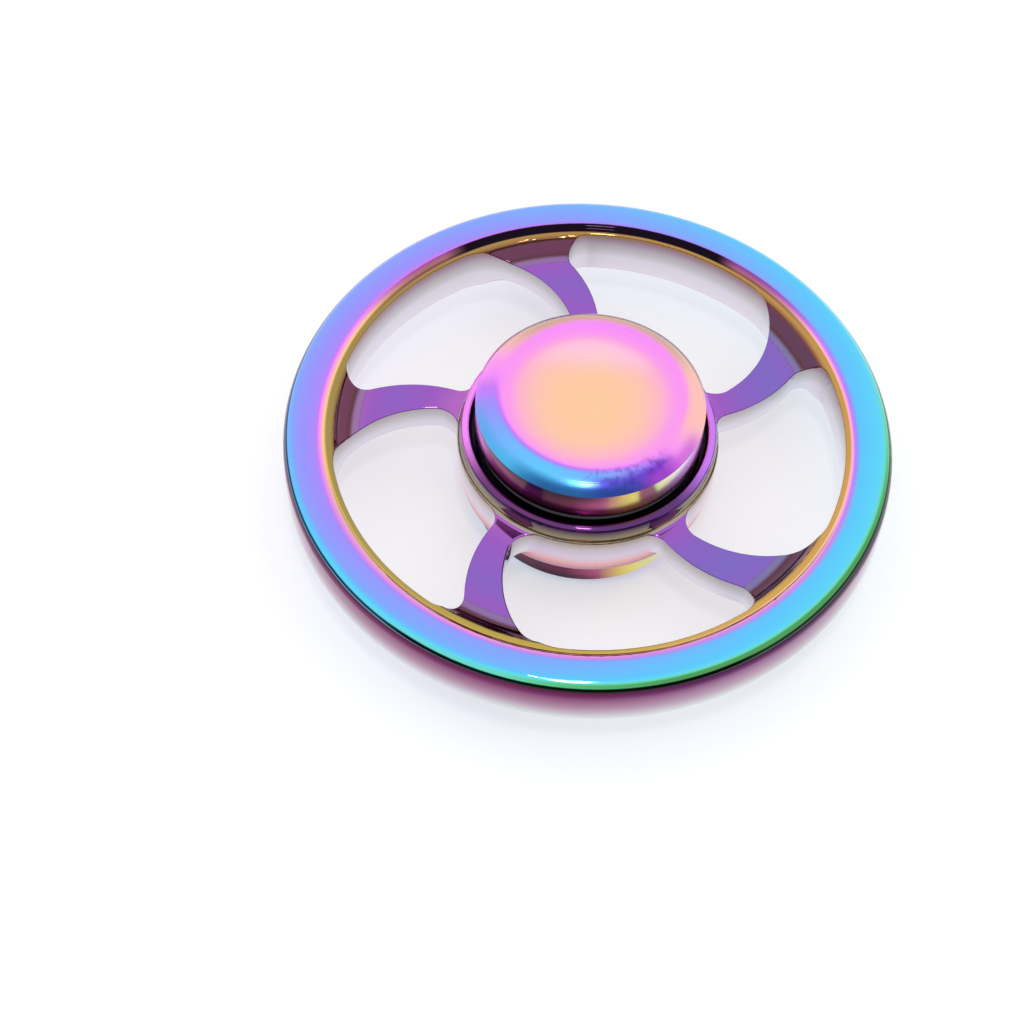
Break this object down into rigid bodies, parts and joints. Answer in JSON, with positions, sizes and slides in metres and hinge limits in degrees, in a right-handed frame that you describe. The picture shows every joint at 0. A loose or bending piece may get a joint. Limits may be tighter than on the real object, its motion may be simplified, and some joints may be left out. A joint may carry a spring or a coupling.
{
  "type": "fidget spinner",
  "caption": "Round wheel with swept spokes and iridescent metal finish that spins on a ball bearing between two finger caps.",
  "frame": {"origin": "centre of the ball bearing, which is the centre of the whole spinner", "axes": "+Z along the spin axis, out of the upper finger cap; +X and +Y in the plane of the wheel; the spinner lies flat on its lower cap"},
  "size_m": [0.06, 0.06, 0.0162],
  "materials": {
    "wheel_rainbow_polished": "mirror polish under an iridescent vapour-deposited coating: blue, violet and magenta, with gold and green where it turns away",
    "cap_rainbow_satin": "fine-turned satin under the same iridescent coating: orange centre, magenta ring, blue shoulder",
    "bearing_steel": "ground bearing steel",
    "cage_steel": "pressed sheet",
    "shield_steel": "pressed sheet, fine grain",
    "screw_steel": "black oxide"
  },
  "bodies": {
    "caps": {"finger_cap_top": "cap_rainbow_satin", "finger_cap_bottom": "cap_rainbow_satin", "cap_set_screw": "screw_steel", "bearing_inner_race": "bearing_steel"},
    "wheel": {"wheel_body": "wheel_rainbow_polished", "bearing_outer_race": "bearing_steel", "bearing_shield_upper": "shield_steel", "bearing_shield_lower": "shield_steel", "bearing_snap_ring_upper": "shield_steel", "bearing_snap_ring_lower": "shield_steel"},
    "cage": {"bearing_cage_upper": "cage_steel", "bearing_cage_lower": "cage_steel", "bearing_cage_rivets": "cage_steel"},
    "ball_1": {"bearing_ball_1": "bearing_steel"},
    "ball_2": {"bearing_ball_2": "bearing_steel"},
    "ball_3": {"bearing_ball_3": "bearing_steel"},
    "ball_4": {"bearing_ball_4": "bearing_steel"},
    "ball_5": {"bearing_ball_5": "bearing_steel"},
    "ball_6": {"bearing_ball_6": "bearing_steel"},
    "ball_7": {"bearing_ball_7": "bearing_steel"}
  },
  "joints": [
    {"name": "wheel_spin", "type": "hinge", "parent": "caps", "child": "wheel", "pos_m": [0, 0, 0], "axis": [0, 0, 1], "continuous": true},
    {"name": "cage_spin", "type": "hinge", "parent": "caps", "child": "cage", "pos_m": [0, 0, 0], "axis": [0, 0, 1], "continuous": true},
    {"name": "ball_1_roll", "type": "hinge", "parent": "cage", "child": "ball_1", "pos_m": [0.0075, 0, 0], "axis": [0, 0, 1], "continuous": true},
    {"name": "ball_2_roll", "type": "hinge", "parent": "cage", "child": "ball_2", "pos_m": [0.00468, 0.00586, 0], "axis": [0, 0, 1], "continuous": true},
    {"name": "ball_3_roll", "type": "hinge", "parent": "cage", "child": "ball_3", "pos_m": [-0.00167, 0.00731, 0], "axis": [0, 0, 1], "continuous": true},
    {"name": "ball_4_roll", "type": "hinge", "parent": "cage", "child": "ball_4", "pos_m": [-0.00676, 0.00325, 0], "axis": [0, 0, 1], "continuous": true},
    {"name": "ball_5_roll", "type": "hinge", "parent": "cage", "child": "ball_5", "pos_m": [-0.00676, -0.00325, 0], "axis": [0, 0, 1], "continuous": true},
    {"name": "ball_6_roll", "type": "hinge", "parent": "cage", "child": "ball_6", "pos_m": [-0.00167, -0.00731, 0], "axis": [0, 0, 1], "continuous": true},
    {"name": "ball_7_roll", "type": "hinge", "parent": "cage", "child": "ball_7", "pos_m": [0.00468, -0.00586, 0], "axis": [0, 0, 1], "continuous": true}
  ],
  "couplings": [
    {"joint": "cage_spin", "follows": "wheel_spin", "ratio": 0.6323},
    {"joint": "ball_1_roll", "follows": "wheel_spin", "ratio": 1.7573},
    {"joint": "ball_2_roll", "follows": "wheel_spin", "ratio": 1.7573},
    {"joint": "ball_3_roll", "follows": "wheel_spin", "ratio": 1.7573},
    {"joint": "ball_4_roll", "follows": "wheel_spin", "ratio": 1.7573},
    {"joint": "ball_5_roll", "follows": "wheel_spin", "ratio": 1.7573},
    {"joint": "ball_6_roll", "follows": "wheel_spin", "ratio": 1.7573},
    {"joint": "ball_7_roll", "follows": "wheel_spin", "ratio": 1.7573}
  ]
}
